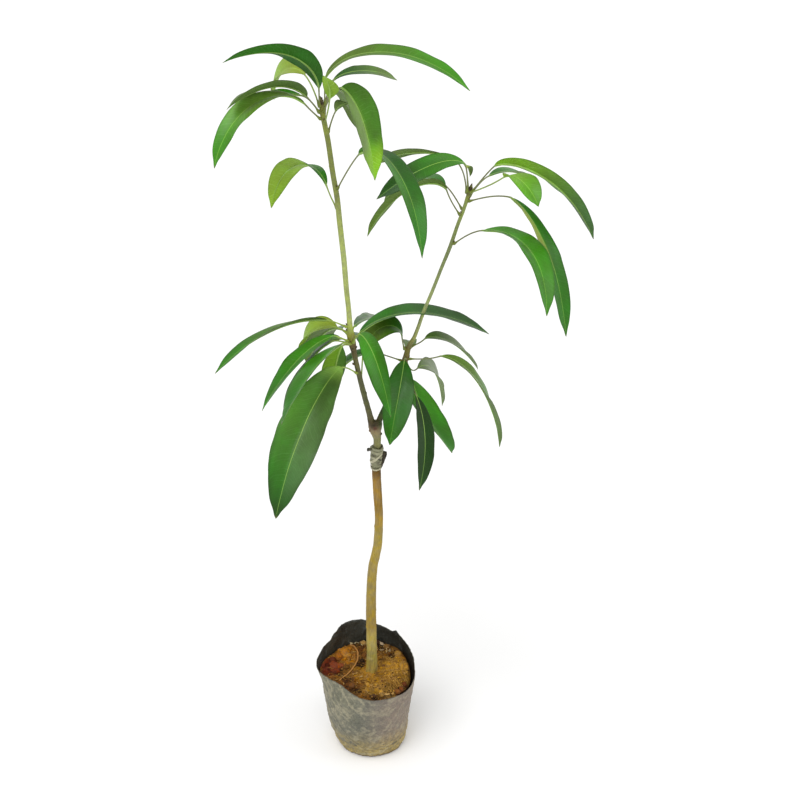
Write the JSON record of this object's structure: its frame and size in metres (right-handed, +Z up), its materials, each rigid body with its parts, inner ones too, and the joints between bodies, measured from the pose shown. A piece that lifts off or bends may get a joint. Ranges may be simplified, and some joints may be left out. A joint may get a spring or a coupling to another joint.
{
  "type": "grafted mango sapling in a nursery bag",
  "caption": "Young grafted mango tree with a slim leaning trunk, forked stems and long arching leaves in tiers, growing in a soft black nursery bag of soil.",
  "frame": {"origin": "centre of the bag's flat underside", "axes": "+Z up; +X to the right and +Y away as seen from the side where the bag's lip is low"},
  "size_m": [0.4552, 0.372, 1.0203],
  "materials": {
    "bag_film": "satin",
    "potting_soil": "matte",
    "rootstock_bark": "matte",
    "graft_tape": "satin",
    "cut_wood": "matte",
    "stem_bark": "matte",
    "leaf": "satin",
    "leaf_young": "satin"
  },
  "bodies": {
    "root": {"bag": "bag_film", "graft_heel": "cut_wood", "graft_tape": "graft_tape", "leader_stem": "stem_bark", "leaf_crown_01": "leaf", "leaf_crown_02": "leaf_young", "leaf_crown_03": "leaf", "leaf_crown_04": "leaf", "leaf_crown_05": "leaf", "leaf_crown_06": "leaf", "leaf_crown_07": "leaf", "leaf_crown_08": "leaf", "leaf_crown_09": "leaf_young", "leaf_crown_10": "leaf_young", "leaf_crown_11": "leaf", "leaf_crown_12": "leaf", "leaf_crown_13": "leaf", "leaf_low_01": "leaf", "leaf_low_02": "leaf", "leaf_low_03": "leaf", "leaf_low_04": "leaf", "leaf_low_05": "leaf", "leaf_low_06": "leaf", "leaf_low_07": "leaf", "leaf_low_08": "leaf", "leaf_low_09": "leaf", "leaf_shoot_01": "leaf", "leaf_shoot_02": "leaf_young", "leaf_shoot_03": "leaf", "leaf_shoot_04": "leaf", "leaf_shoot_05": "leaf", "leaf_shoot_06": "leaf", "leaf_shoot_07": "leaf", "leaf_shoot_08": "leaf", "leaf_shoot_09": "leaf", "leaf_shoot_10": "leaf", "leaf_tier_01": "leaf", "leaf_tier_02": "leaf_young", "leaf_tier_03": "leaf", "leaf_tier_04": "leaf", "leaf_tier_05": "leaf_young", "leaf_tier_06": "leaf", "leaf_tier_07": "leaf", "leaf_tier_08": "leaf", "leaf_tier_09": "leaf", "leaf_tier_10": "leaf", "leaf_tier_11": "leaf", "leaf_tier_12": "leaf", "leaf_tier_13": "leaf", "side_stem": "stem_bark", "soil": "potting_soil", "trunk": "rootstock_bark"}
  },
  "joints": []
}
